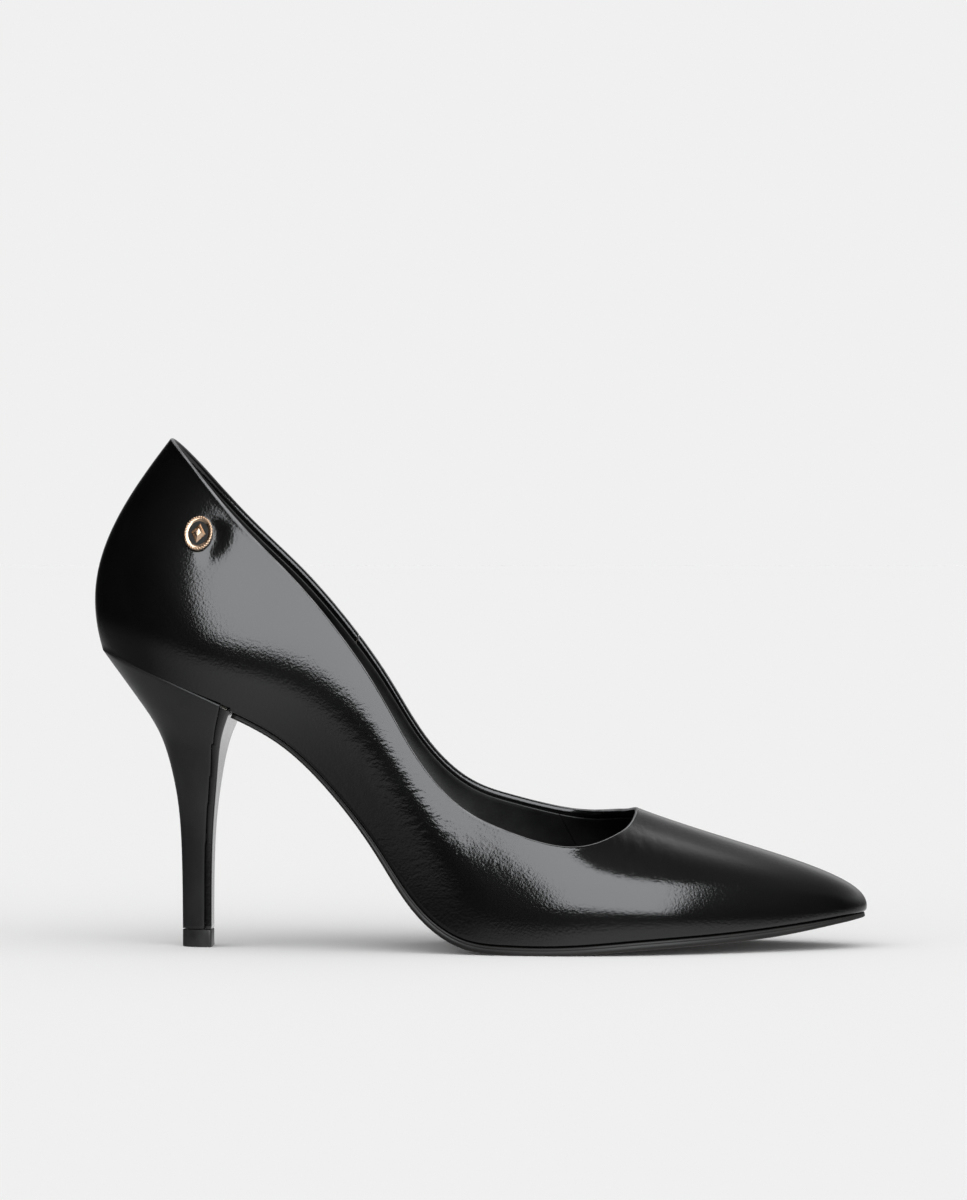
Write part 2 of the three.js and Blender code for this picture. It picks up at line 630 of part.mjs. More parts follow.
add('insole_shank_board', drilled(plate(0, JOIN, (t) => innerEdge(t, BOARD_LOW, BOARD_HIGH), flat(BOARD_LOW),
  flat(BOARD_HIGH)), fasteners(FIT)), fibre);
add('insole_forepart_board', plate(JOIN, HALF, (t) => innerEdge(t, BOARD_LOW, BOARD_HIGH), flat(BOARD_LOW),
  flat(BOARD_HIGH)), fibre);
add('steel_shank', drilled(strap(6, 15, SHANK_WIDTH / 2, SHANK_LOW, SHANK_LOW + SHANK),
  [heelScrew(FIT), ...RIVET_X.map((x) => shankRivet(x, FIT))]), steel);
add('waist_filler', drilled(plate(0, JOIN, insideFlange, flat(0.05), flat(SHANK_LOW - FIT)),
  [heelScrew(FIT), ...NAILS.map((nail) => heelNail(nail, FIT))]), foam);
add('forepart_filler', plate(JOIN + 1, HALF, insideFlange, flat(0.05), flat(FLANGE)), foam);
add('sock_foam', drilled(plate(0, HALF, (t) => innerEdge(t, FOAM_LOW, FOAM_HIGH), flat(FOAM_LOW),
  flat(FOAM_HIGH)), fasteners(FIT)), foam);
add('sock', plate(0, HALF, (t) => innerEdge(t, SOCK_LOW, SOCK_HIGH), flat(SOCK_LOW), flat(SOCK_HIGH)), calf);
add('shank_rivet_rear', shankRivet(RIVET_X[0]), steel);
add('shank_rivet_front', shankRivet(RIVET_X[1]), steel);
add('heel_screw', heelScrew(), steel);
NAILS.forEach((nail, i) => add(`heel_nail_${i + 1}`, heelNail(nail), steel));

add('outsole', outsole(), soleLeather);
add('heel_core', drilled(heelBlock(COVER + FIT, COVER + FIT), [aboveSeat(), heelScrew(0.1 + FIT),
  ...NAILS.map((nail) => heelNail(nail, FIT)), rod(TUBE_OUTER + FIT, -1, TUBE_HIGH + FIT, STEM_X)]), plastic);
add('heel_cover', heelCover(), gloss);
add('heel_breast_cover', breastCover(), gloss);
add('heel_tube', drilled(rod(TUBE_OUTER, TUBE_LOW, TUBE_HIGH, STEM_X),
  [rod(TUBE_INNER, 0, 2 * TUBE_HIGH, STEM_X)]), steel);
const topPiece = body(TURNS / 2, 1, (i, j, layer) => heelPoint(
  1, (layer === 0 ? -1 : 1) * turnAt(TURNS / 2 + i), 0, 0,
)
  .setZ(j === 0 ? 0 : TOP_PIECE));
add('top_piece', drilled(topPiece, [rod(PIN + FIT, 1.6, 20, STEM_X)]), rubber);
add('top_piece_pin', rod(PIN, 1.6 + FIT, 20, STEM_X), steel);
add('ornament', emblem(), gold);

// The origin is the middle of the footprint, on the ground.
const extent = new THREE.Box3().setFromObject(part);
const middle = extent.getCenter(v3(0, 0, 0));
part.position.set(-middle.x, -middle.y, -extent.min.z);

export default part;
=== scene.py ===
import bisect
import functools
import math
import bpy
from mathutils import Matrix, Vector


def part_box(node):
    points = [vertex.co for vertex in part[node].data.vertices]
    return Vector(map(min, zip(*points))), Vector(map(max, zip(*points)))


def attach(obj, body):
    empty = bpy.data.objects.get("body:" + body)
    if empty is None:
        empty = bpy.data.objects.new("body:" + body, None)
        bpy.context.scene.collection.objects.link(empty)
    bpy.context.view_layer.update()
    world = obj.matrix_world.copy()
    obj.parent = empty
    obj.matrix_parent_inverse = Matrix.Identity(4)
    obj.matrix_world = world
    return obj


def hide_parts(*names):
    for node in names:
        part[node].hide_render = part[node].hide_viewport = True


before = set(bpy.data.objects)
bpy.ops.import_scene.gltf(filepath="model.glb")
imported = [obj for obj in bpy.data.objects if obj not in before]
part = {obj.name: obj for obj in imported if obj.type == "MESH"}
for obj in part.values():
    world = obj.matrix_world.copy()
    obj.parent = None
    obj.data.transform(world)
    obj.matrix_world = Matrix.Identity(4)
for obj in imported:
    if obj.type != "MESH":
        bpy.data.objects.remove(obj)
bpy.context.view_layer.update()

from types import SimpleNamespace

import bmesh
import bpy
from mathutils import Matrix, Vector

scene = bpy.context.scene


# ---- Camera -------------------------------------------------------------------------------------
# A long lens looks at the outer side of the shoe from a little in front of square, level with the instep.
AZIMUTH = math.radians(2.5)
DISTANCE = 1.5
EYE_HEIGHT = 0.122
AIM_HEIGHT = 0.107
FRAME_HEIGHT = 0.3704
SENSOR_HEIGHT = 36

camera_data = bpy.data.cameras.new("studio_camera")
camera_data.sensor_fit = "VERTICAL"
camera_data.sensor_height = SENSOR_HEIGHT
camera_data.lens = SENSOR_HEIGHT * DISTANCE / FRAME_HEIGHT
camera = bpy.data.objects.new("studio_camera", camera_data)
camera.location = (DISTANCE * math.sin(AZIMUTH), -DISTANCE * math.cos(AZIMUTH), EYE_HEIGHT)
camera.rotation_euler = (Vector((0, 0, AIM_HEIGHT)) - camera.location).to_track_quat("-Z", "Y").to_euler()
scene.collection.objects.link(camera)
scene.camera = camera


# ---- Upper --------------------------------------------------------------------------------------
# Two skins of black polished calf: vamp and outer quarter in one, and the inner quarter. Both are pulled over
# the last, turned under the insole, and folded over a tape round the mouth. Sizes are in millimetres.
LENGTH = 236.5
HEEL_HEIGHT = 89.5
BALL_HALF = 36.5
SEAT_HALF = 25.5
BACK_HEIGHT = 74
SIDE_HEIGHT = 30
THROAT = 165.4 / LENGTH
INFLARE = 7
BACK_X = -LENGTH / 2 + 0.7
BALL_Z = 3.1
LAST_CORNER = 3.2
TUBE_BOTTOM = 5.7
TIP_LENGTH = 9.3
STEM_X = BACK_X + (0.5 - 0.3935) * LENGTH + TIP_LENGTH / 2

tube_low, tube_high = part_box("heel_tube")
ORIGIN = Vector((
    (tube_low[0] + tube_high[0]) / 2 - STEM_X / 1000,
    (tube_low[1] + tube_high[1]) / 2,
    tube_low[2] - TUBE_BOTTOM / 1000,
))


def world_point(point):
    """A point of the shoe in millimetres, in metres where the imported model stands."""
    return ORIGIN + point / 1000


def fair(knots):
    """Smooth curve through knots (x, y). Its bend is continuous and dies out at both ends."""
    xs = [knot[0] for knot in knots]
    ys = [knot[1] for knot in knots]
    last = len(xs) - 1
    gap = [xs[i + 1] - xs[i] for i in range(last)]
    carry = [0.0] * (last + 1)
    rest = [0.0] * (last + 1)
    for i in range(1, last):
        turn = 6 * ((ys[i + 1] - ys[i]) / gap[i] - (ys[i] - ys[i - 1]) / gap[i - 1])
        pivot = gap[i - 1] * carry[i - 1] + 2 * (gap[i - 1] + gap[i])
        carry[i] = -gap[i] / pivot
        rest[i] = (turn - gap[i - 1] * rest[i - 1]) / pivot
    bend = [0.0] * (last + 1)
    for i in range(last - 1, 0, -1):
        bend[i] = carry[i] * bend[i + 1] + rest[i]

    def curve(x):
        i = min(max(bisect.bisect_right(xs, x) - 1, 0), last - 1)
        a = (xs[i + 1] - x) / gap[i]
        b = (x - xs[i]) / gap[i]
        bulge = (a ** 3 - a) * bend[i] + (b ** 3 - b) * bend[i + 1]
        return a * ys[i] + b * ys[i + 1] + bulge * gap[i] ** 2 / 6

    return curve


def around(outer, inner=None):
    """Smooth closed run of a value round the shoe, from nine stations between the back, 0, and the toe, 1, on
    each side. The inner side repeats the outer one unless it has values of its own."""
    loop = list(outer) + list((inner or outer)[7:0:-1])
    curve = fair([(k / 8, loop[k % 16]) for k in range(-4, 21)])
    return lambda t: curve(t % 2)


def ease(low, high, x):
    """0 at low, 1 at high and smooth between them, whichever of the two is larger."""
    share = min(max((x - low) / (high - low), 0), 1)
    return share * share * (3 - 2 * share)


arch = fair([
    (-0.5, 1), (-0.41, 0.895), (-0.32, 0.788), (-0.243, 0.668), (-0.18, 0.5), (-0.125, 0.31), (-0.09, 0.172),
    (-0.054, 0.072), (-0.018, 0.02), (0.03, 0.002), (0.1, 0), (0.2, 0.018), (0.3, 0.035), (0.42, 0.066),
    (0.5, 0.095),
])


def bottom(x):
    """Height of the feather line over the ground."""
    return BALL_Z + HEEL_HEIGHT * arch((x - BACK_X) / LENGTH - 0.5)


def bottom_normal(x):
    return Vector((bottom(x - 0.5) - bottom(x + 0.5), 0, 1)).normalized()


def swing(x):
    """The forepart swings towards the inner side."""
    return INFLARE * ease(BACK_X + 0.35 * LENGTH, BACK_X + LENGTH, x)


half_width = around(
    [2.08 * SEAT_HALF, 1.9 * SEAT_HALF, 1.41 * SEAT_HALF]
    + [k * BALL_HALF for k in (0.675, 0.885, 1.08, 0.97, 0.85, 0.86)],
    [2.08 * SEAT_HALF, 1.9 * SEAT_HALF, 1.41 * SEAT_HALF]
    + [k * BALL_HALF for k in (0.52, 0.79, 1.06, 1.0, 0.88, 0.86)],
)
mouth_x = around(
    [0.0917, 0.127, 0.229, 0.364, 0.5, 0.611, 0.671, 0.693, THROAT],
    [0.0917, 0.128, 0.229, 0.367, 0.505, 0.614, 0.666, 0.688, THROAT],
)
mouth_out = around([k * BALL_HALF for k in (1, 0.967, 0.79, 0.714, 0.78, 0.877, 0.82, 0.758, 0.74)])
mouth_rise = around(
    [k * BACK_HEIGHT for k in (1, 0.92, 0.72)]
    + [k * SIDE_HEIGHT for k in (1.57, 1.235, 0.985, 1.05, 1.15, 1.27)],
    [k * BACK_HEIGHT for k in (1, 0.933, 0.75)]
    + [k * SIDE_HEIGHT for k in (1.675, 1.46, 1.27, 1.25, 1.26, 1.27)],
)
lean_x = around([0.61, 0.5, 0.36, 0.3, 0, -0.5, -0.85, -0.92, -0.934])
lean_in = around([0.4, 0.42, 0.37, 0.38, 0.22, 0.39, 0.31, 0.21, 0.15])
lean_up = around([0.79, 0.84, 0.9, 0.92, 0.96, 0.79, 0.42, 0.37, 0.357])
wall_lean = around([42, 30, 18, 20, 6, 8, 7, 9, 14])
foot_full = around([0.37, 0.36, 0.34, 0.33, 0.36, 0.38, 0.25, 0.16, 0.14])
top_full = around([0.4, 0.38, 0.37, 0.38, 0.33, 0.36, 0.42, 0.43, 0.43])
lasting_margin = around([9, 9, 9, 8, 9, 10, 8, 4, 3])


def feather(t):
    """The line where the upper turns under the insole."""
    x = BACK_X + LENGTH / 2 * (1 - math.cos(math.pi * t))
    return Vector((x, swing(x) - half_width(t) * math.sin(math.pi * t), bottom(x)))


def mouth(t):
    """The line of the shoe's opening."""
    x = BACK_X + LENGTH * mouth_x(t)
    return Vector((x, swing(x) - math.sin(math.pi * t) * mouth_out(t), bottom(x) + mouth_rise(t)))


@functools.lru_cache(maxsize=None)
def rib(t, corner):
    """One rib of the last: under the insole, round the feather edge, up to the mouth."""
    foot = feather(t)
    along = (feather(t + 0.002) - feather(t - 0.002)).normalized()
    out = along.cross(bottom_normal(foot.x)).normalized()
    up = out.cross(along).normalized()
    lean = math.radians(wall_lean(t))
    centre = foot + corner * (up - out)
    start = centre + corner * (math.cos(lean) * out - math.sin(lean) * up)
    rise = math.cos(lean) * up + math.sin(lean) * out
    top = mouth(t)
    reach = Vector((lean_x(t), math.sin(math.pi * t) * lean_in(t), lean_up(t))).normalized()
    chord = (top - start).length
    wall = (start, start + foot_full(t) * chord * rise, top - top_full(t) * chord * reach, top)
    return SimpleNamespace(
        foot=foot, up=up, out=out, lean=lean, centre=centre, corner=corner, wall=wall,
        margin=lasting_margin(t), millimetre=1 / (3 * top_full(t) * chord),
    )


def on_rib(r, p):
    """Row 0 is the lasting margin, 1 to 2 the turn round the feather edge, and 3 the mouth."""
    if p <= 1:
        under = r.foot - r.out * (r.corner + r.margin * (1 - p))
        under.z = bottom(under.x)
        return under
    if p <= 2:
        turn = (p - 1) * (math.pi / 2 - r.lean)
        return r.centre + r.corner * (math.sin(turn) * r.out - math.cos(turn) * r.up)
    u = p - 2
    a, b, c, d = r.wall
    return (1 - u) ** 3 * a + 3 * u * (1 - u) ** 2 * b + 3 * u * u * (1 - u) * c + u ** 3 * d


def on_last(t, p, depth, corner=LAST_CORNER):
    """A point of the upper at rib t and row p, that far in from the outer face."""
    t = round(t, 6)
    step = 0.004
    r = rib(t, corner)
    ahead = on_rib(rib(round(t + step, 6), corner), p) - on_rib(rib(round(t - step, 6), corner), p)
    middle = min(p, 3 - step)
    climb = on_rib(r, middle + step) - on_rib(r, max(middle - step, 0))
    return on_rib(r, p) + climb.cross(ahead).normalized() * depth


def laid(columns, rows, place, highlight_rows=()):
    """A grid of cells with each of its crossings put where place(column, row) says. The cells of the listed
    rows take the second material, which on the skins is a painted highlight along the fold of the mouth."""
    bm = bmesh.new()
    bmesh.ops.create_grid(bm, x_segments=columns, y_segments=rows, size=0.5)
    for cell in bm.faces:
        cell.material_index = int(int((cell.calc_center_median().y + 0.5) * rows) in highlight_rows)
    for crossing in bm.verts:
        crossing.co = place(round((crossing.co.x + 0.5) * columns), round((crossing.co.y + 0.5) * rows))
    return bm


def piece(name, bm, slot, *nodes):
    """Closes and smooths a mesh and makes it a piece that stands for the CAD nodes."""
    bmesh.ops.remove_doubles(bm, verts=bm.verts, dist=1e-6)
    rims = [edge for edge in bm.edges if edge.is_boundary]
    bmesh.ops.holes_fill(bm, edges=rims, sides=0)
    bmesh.ops.recalc_face_normals(bm, faces=bm.faces)
    for face in bm.faces:
        face.smooth = True
    mesh = bpy.data.meshes.new(name)
    bm.to_mesh(mesh)
    bm.free()
    made = bpy.data.objects.new(name, mesh)
    scene.collection.objects.link(made)
    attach(made, "root")
    if nodes:
        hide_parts(*nodes)
    return made


def skin_ends(first, last, count, edge):
    """Ribs from first to last, with close ones at both ends, where the skin dips by `edge` into its seam."""
    pace = (feather(first + 0.01) - feather(first)).length / 0.01
    dips = [(0.08, edge), (0.25, 0.45 * edge), (0.55, 0.12 * edge), (1.1, 0)]
    ribs = [(first + d / pace, dip) for d, dip in dips]
    start, stop = first + 2 / pace, last - 2 / pace
    ribs += [(start + (stop - start) * k / count, 0) for k in range(count + 1)]
    ribs += [(last - d / pace, dip) for d, dip in reversed(dips)]
    return ribs


SKIN = 1.0
FOLD = 1.0
FOLD_PROUD = 0.3
FOLD_LEG = 4.4
FOLD_CREST = (58, 59, 60, 61)  # the rows of skin_section on the outside of the fold
# The fold crest rows take a grey calf, a painted highlight along the fold of the mouth.
SKIN_CORNER = 1.4
SKIN_DROP = 0.5  # how far the turned edge hangs below the insole, against the sole and the heel
SIDE_SEAM = 53 / 32


def skin_section(t):
    """Rows of a skin from the lasting margin up the face, over the folded mouth and down the inside again."""
    mm = rib(round(t, 6), SKIN_CORNER).millimetre
    rows = [(p, 0) for p in (0, 0.45, 0.8, 1)]
    rows += [(1 + k / 9, 0) for k in range(1, 9)]
    rows += [(2 + (1 - FOLD * mm) * k / 44, 0) for k in range(45)]
    rolls = [math.pi * k / 10 for k in range(1, 10)]
    for a in rolls:
        proud = math.sin(a)
        drop = FOLD - (FOLD + FOLD_PROUD) * proud
        rows.append((3 - mm * drop, FOLD * (1 - math.cos(a)) - FOLD_PROUD * proud))
    rows += [(3 - d * mm, 2 * FOLD) for d in (FOLD, 1.8, 2.8, 3.6)]
    rows += [(3 - FOLD_LEG * mm, 1.6), (3 - (FOLD_LEG + 0.3) * mm, SKIN)]
    rows += [(2 + (1 - (FOLD_LEG + 0.8) * mm) * k / 12, SKIN) for k in range(12, -1, -1)]
    rows += [(p, SKIN) for p in (1.7, 1.35, 1, 0.5, 0)]
    return rows + [(0, 0)]


ORNAMENT_T = 0.1715
ORNAMENT_ROW = 2.789
ORNAMENT_DENT = 0.75
DENT_RADIUS = 5
DENT_WIDTH = 3.6


def pressed(spot):
    """How far the leather is drawn in round the front edge of the riveted ornament."""
    away = spot - on_last(ORNAMENT_T, ORNAMENT_ROW, 0)
    press = math.exp(-((away.length - DENT_RADIUS) / DENT_WIDTH) ** 2)
    return ORNAMENT_DENT * press * ease(0, 3, away.x) * ease(6, 2, away.z)


SEAM_DIP = 0.42


def skin(name, first, last, count, node):
    ribs = skin_ends(first, last, count, SEAM_DIP)
    sections = [skin_section(t) for t, _ in ribs]

    def place(i, j):
        t, dip = ribs[i]
        p, depth = sections[i][j]
        sink = dip * (1 - 2 * min(depth, SKIN) / SKIN) if depth <= SKIN else 0
        if depth == 0:
            sink += pressed(on_last(t, p, 0))
        drop = rib(round(t, 6), SKIN_CORNER).up * SKIN_DROP * (1 - ease(1.9, 2.2, p))
        return world_point(on_last(t, p, depth + sink, SKIN_CORNER) - drop)

    return piece(name, laid(len(ribs) - 1, len(sections[0]) - 1, place, FOLD_CREST), "upper_leather", node)


upper_outer = skin("polished_vamp_and_outer_quarter", 0, SIDE_SEAM, 300, "upper_vamp_and_outer_quarter")
upper_inner = skin("polished_inner_quarter", SIDE_SEAM, 2, 70, "upper_inner_quarter")


def finish(name, light, dark, rough, grain, relief, patch=9.0, sockets=None):
    """A surface whose colour wanders between light and dark and whose roughness wanders between two values.
    The sizes are in millimetres: grain of its texture, relief of the texture's height, patch of its clouds."""
    material = bpy.data.materials.new(name)
    material.use_nodes = True
    nodes = material.node_tree.nodes
    link = material.node_tree.links.new
    shader = nodes["Principled BSDF"]
    for socket, value in (sockets or {}).items():
        shader.inputs[socket].default_value = value
    place = nodes.new("ShaderNodeTexCoord").outputs["Object"]

    clouds = nodes.new("ShaderNodeTexNoise")
    clouds.inputs["Scale"].default_value = 1000 / patch
    clouds.inputs["Detail"].default_value = 4
    link(place, clouds.inputs["Vector"])
    tint = nodes.new("ShaderNodeValToRGB")
    tint.color_ramp.elements[0].position = 0.35
    tint.color_ramp.elements[0].color = (*dark, 1)
    tint.color_ramp.elements[1].position = 0.65
    tint.color_ramp.elements[1].color = (*light, 1)
    link(clouds.outputs["Fac"], tint.inputs["Fac"])
    link(tint.outputs["Color"], shader.inputs["Base Color"])
    wear = nodes.new("ShaderNodeMapRange")
    wear.inputs["From Min"].default_value = 0.35
    wear.inputs["From Max"].default_value = 0.65
    wear.inputs["To Min"].default_value = rough[0]
    wear.inputs["To Max"].default_value = rough[1]
    link(clouds.outputs["Fac"], wear.inputs["Value"])
    link(wear.outputs["Result"], shader.inputs["Roughness"])

    pebbles = nodes.new("ShaderNodeTexNoise")
    pebbles.inputs["Scale"].default_value = 1000 / grain
    pebbles.inputs["Detail"].default_value = 3
    link(place, pebbles.inputs["Vector"])
    bump = nodes.new("ShaderNodeBump")
    bump.inputs["Distance"].default_value = relief / 1000
    link(pebbles.outputs["Fac"], bump.inputs["Height"])
    link(bump.outputs["Normal"], shader.inputs["Normal"])
    if shader.inputs["Coat Weight"].default_value > 0:
        link(bump.outputs["Normal"], shader.inputs["Coat Normal"])
    return material


def dress(material, *objects):
    for thing in objects:
        if thing.material_slots:
            for place in thing.material_slots:
                place.material = material
        else:
            thing.data.materials.append(material)


polished_calf = finish(
    "polished_calf", (0.0016, 0.0016, 0.0018), (0.0009, 0.0009, 0.001), (0.34, 0.46), 0.72, 0.045, 30,
    {"Coat Weight": 1.0, "Coat Roughness": 0.1, "Coat IOR": 1.5, "Specular IOR Level": 0.06},
)


CREASE_TURN = math.radians(-18)


def crease(material, centre, reach, size, stretch, depth):
    """Adds fine creases that fade out at a reach from a centre, both in metres. size and depth are in
    millimetres, and stretch says how much longer or shorter they run along each axis."""
    nodes = material.node_tree.nodes
    link = material.node_tree.links.new
    bump = next(node for node in nodes if node.type == "BUMP")
    place = next(node for node in nodes if node.type == "TEX_COORD").outputs["Object"]
    turn = nodes.new("ShaderNodeMapping")
    turn.inputs["Rotation"].default_value = (0, CREASE_TURN, 0)
    turn.inputs["Scale"].default_value = stretch
    link(place, turn.inputs["Vector"])
    folds = nodes.new("ShaderNodeTexNoise")
    folds.inputs["Scale"].default_value = 1000 / size
    folds.inputs["Detail"].default_value = 2
    link(turn.outputs["Vector"], folds.inputs["Vector"])
    away = nodes.new("ShaderNodeVectorMath")
    away.operation = "DISTANCE"
    away.inputs[1].default_value = centre
    link(place, away.inputs[0])
    fade = nodes.new("ShaderNodeMapRange")
    fade.interpolation_type = "SMOOTHSTEP"
    fade.inputs["From Min"].default_value = 0
    fade.inputs["From Max"].default_value = reach
    fade.inputs["To Min"].default_value = 1
    fade.inputs["To Max"].default_value = 0
    link(away.outputs["Value"], fade.inputs["Value"])
    held = nodes.new("ShaderNodeMath")
    held.operation = "MULTIPLY"
    link(folds.outputs["Fac"], held.inputs[0])
    link(fade.outputs["Result"], held.inputs[1])
    wide = nodes.new("ShaderNodeBump")
    wide.inputs["Distance"].default_value = depth / 1000
    link(held.outputs["Value"], wide.inputs["Height"])
    earlier = bump.inputs["Normal"].links
    if earlier:
        link(earlier[0].from_socket, wide.inputs["Normal"])
    link(wide.outputs["Normal"], bump.inputs["Normal"])


crease(polished_calf, (0.046, -0.022, 0.034), 0.024, 3.0, (1, 0.3, 0.35), 0.4)
crease(polished_calf, (0.0, -0.034, 0.045), 0.045, 1.7, (0.6, 0.5, 1), 0.1)
crease(polished_calf, (-0.03, -0.03, 0.06), 0.045, 1.7, (0.6, 0.5, 1), 0.08)
dress(polished_calf, upper_outer, upper_inner)
# A grey calf on the fold crest: a painted highlight, a light line along the fold of the mouth.
painted_fold_highlight = finish("painted_fold_highlight", (0.24, 0.24, 0.25), (0.12, 0.12, 0.125), (0.4, 0.55), 0.4, 0.02, 6)
upper_outer.data.materials.append(painted_fold_highlight)
upper_inner.data.materials.append(painted_fold_highlight)


# ---- Topline tape -------------------------------------------------------------------------------
# A narrow woven tape that the skins are folded over, so that the mouth doesn't stretch. It lies between the
# face of the skin and its turned edge.
TAPE_COLUMNS = 200
TAPE_RIM = [(1.4, 1.15), (6.5, 1.15), (6.5, 1.5), (1.4, 1.5), (1.4, 1.15)]


def tape_place(i, j):
    t = 2 * i / TAPE_COLUMNS
    mm = rib(round(t, 6), SKIN_CORNER).millimetre
    drop, depth = TAPE_RIM[j]
    return world_point(on_last(t, 3 - drop * mm, depth, SKIN_CORNER))


topline_tape = piece(
    "woven_topline_tape", laid(TAPE_COLUMNS, len(TAPE_RIM) - 1, tape_place), "textile", "topline_tape",
)
interlining_cloth = finish(
    "interlining_cloth", (0.68, 0.64, 0.56), (0.55, 0.51, 0.44), (0.85, 0.95), 0.4, 0.08, 3,
)
dress(interlining_cloth, topline_tape)


# ---- Linings ------------------------------------------------------------------------------------
# Black glazed kid glued under the whole upper: one piece round the heel and one under the vamp. They stop a
# little below the fold of the mouth.
LINING_OUT = 2.26
LINING_IN = 2.86
LINING_DROP = 1.9
LINING_SPLIT = 19 / 32
LINING_DIP = 0.08


def lining_section(t):
    mm = rib(round(t, 6), LAST_CORNER).millimetre
    middle = (LINING_OUT + LINING_IN) / 2
    high = 3 - LINING_DROP * mm
    rows = [(p, LINING_OUT) for p in (0.6, 1, 1.5, 2)]
    rows += [(2 + (high - 0.4 * mm - 2) * k / 8, LINING_OUT) for k in range(1, 9)]
    rows += [(high - 0.1 * mm, LINING_OUT + 0.08), (high, middle), (high - 0.1 * mm, LINING_IN - 0.08)]
    rows += [(2 + (high - 0.4 * mm - 2) * k / 28, LINING_IN) for k in range(28, -1, -1)]
    rows += [(p, LINING_IN) for p in (1.5, 1, 0.6)]
    return rows + [(0.6, LINING_OUT)]


def lining(name, first, last, count, node):
    ribs = skin_ends(first, last, count, LINING_DIP)
    sections = [lining_section(t) for t, _ in ribs]

    def place(i, j):
        t, dip = ribs[i]
        p, depth = sections[i][j]
        sink = dip if depth < (LINING_OUT + LINING_IN) / 2 else -dip
        return world_point(on_last(t, p, depth + sink))

    return piece(name, laid(len(ribs) - 1, len(sections[0]) - 1, place), "lining_leather", node)


quarter_lining = lining("glazed_quarter_lining", -LINING_SPLIT, LINING_SPLIT, 160, "quarter_lining")
vamp_lining = lining("glazed_vamp_lining", LINING_SPLIT, 2 - LINING_SPLIT, 130, "vamp_lining")
glazed_kid = finish(
    "glazed_kid", (0.006, 0.006, 0.006), (0.003, 0.003, 0.003), (0.34, 0.5), 0.7, 0.03, 16,
    {"Specular IOR Level": 0.35},
)
dress(glazed_kid, quarter_lining, vamp_lining)


# ---- Heel grip ----------------------------------------------------------------------------------
# A soft suede pad glued inside the back so that the heel of the foot doesn't slip.
GRIP_REACH = 5 / 32
GRIP_OUT = 3.0
GRIP_THICK = 0.75


def grip_place(i, j):
    spin = 2 * math.pi * j / 32
    across = -1 + 2 * i / 40
    half = math.sqrt(max(1 - abs(across) ** 3, 0))
    p = 2.56 + 0.27 * half * math.sin(spin)
    depth = GRIP_OUT + GRIP_THICK / 2 * (1 - half * math.cos(spin) ** 3)
    return world_point(on_last(GRIP_REACH * across, p, depth))


heel_grip = piece("suede_heel_grip", laid(40, 32, grip_place), "suede", "heel_grip")
black_suede = finish(
    "black_suede", (0.022, 0.021, 0.02), (0.01, 0.01, 0.01), (0.8, 0.95), 0.25, 0.12, 5,
    {"Sheen Weight": 0.35, "Sheen Roughness": 0.5, "Specular IOR Level": 0.2},
)
dress(black_suede, heel_grip)


# ---- Outsole ------------------------------------------------------------------------------------
# A thin leather sole cemented from the heel breast to the toe, with a polished black edge and a fine line
# scored round it. The waist is thinner than the tread.
SOLE = 2.5
WAIST_SOLE = 1.5
TOE_PARED = 1.1
WAIST_TUCK = 2
CEMENT = 0.6
BREAST = 9 / 32


def sole_edge(t, inset):
    r = rib(round(t, 6), LAST_CORNER)
    tuck = ease(BACK_X + 0.3 * LENGTH, BACK_X + 0.55 * LENGTH, r.foot.x)
    tip = ease(BACK_X + 0.97 * LENGTH, BACK_X + LENGTH, r.foot.x)
    return r.foot - r.out * (WAIST_TUCK * (1 - tuck) + tip + inset)


def sole_thickness(x):
    tread = WAIST_SOLE + (SOLE - WAIST_SOLE) * ease(BACK_X + 0.3 * LENGTH, BACK_X + 0.5 * LENGTH, x)
    return tread - TOE_PARED * ease(BACK_X + 0.86 * LENGTH, BACK_X + LENGTH, x)


def horseshoe(first, count, edge, rows, height):
    """A plate under the foot: its columns run round the toe, its rows from the middle of the top, over the
    edge, to the middle of the underside. A row is (share of the way from middle to edge, inset, height)."""
    def place(i, j):
        t = first + (2 - 2 * first) * i / count
        share, inset, level = rows[j]
        side = edge(t, inset)
        spot = side.lerp((side + edge(2 - t, inset)) / 2, 1 - share)
        spot.z = bottom(spot.x)
        spot += bottom_normal(spot.x) * height(level, spot.x)
        spot.z = max(spot.z, 0)
        return world_point(spot)
    return laid(count, len(rows) - 1, place)


SOLE_ROWS = [
    (0, 1.4, 0), (0.5, 1.4, 0), (1, 1.4, 0), (1, 0.5, 0), (1, 0.16, 0.05), (1, 0.04, 0.14), (1, 0.0, 0.24),
    (1, 0.0, 0.3), (1, 0.16, 0.345), (1, 0.0, 0.39), (1, 0.0, 0.7), (1, 0.05, 0.84), (1, 0.18, 0.94),
    (1, 0.45, 1), (1, 1.4, 1), (0.85, 1.4, 1), (0.6, 1.4, 1), (0.3, 1.4, 1), (0, 1.4, 1),
]


def sole_depth(level, x):
    return -CEMENT - level * (sole_thickness(x) + 0.1)


outsole = piece(
    "leather_outsole", horseshoe(BREAST, 240, sole_edge, SOLE_ROWS, sole_depth), "sole", "outsole",
)
sole_leather = finish(
    "sole_leather", (0.011, 0.0095, 0.008), (0.006, 0.0054, 0.0047), (0.42, 0.58), 0.5, 0.02, 14,
    {"Specular IOR Level": 0.36},
)
dress(sole_leather, outsole)


# ---- Sock ---------------------------------------------------------------------------------------
# The full sock that the foot stands on: black kid over thin foam, softly rounded at the edge.
FLANGE = 2.86
SOCK_LOW = 7.26
SOCK_HIGH = 8.2


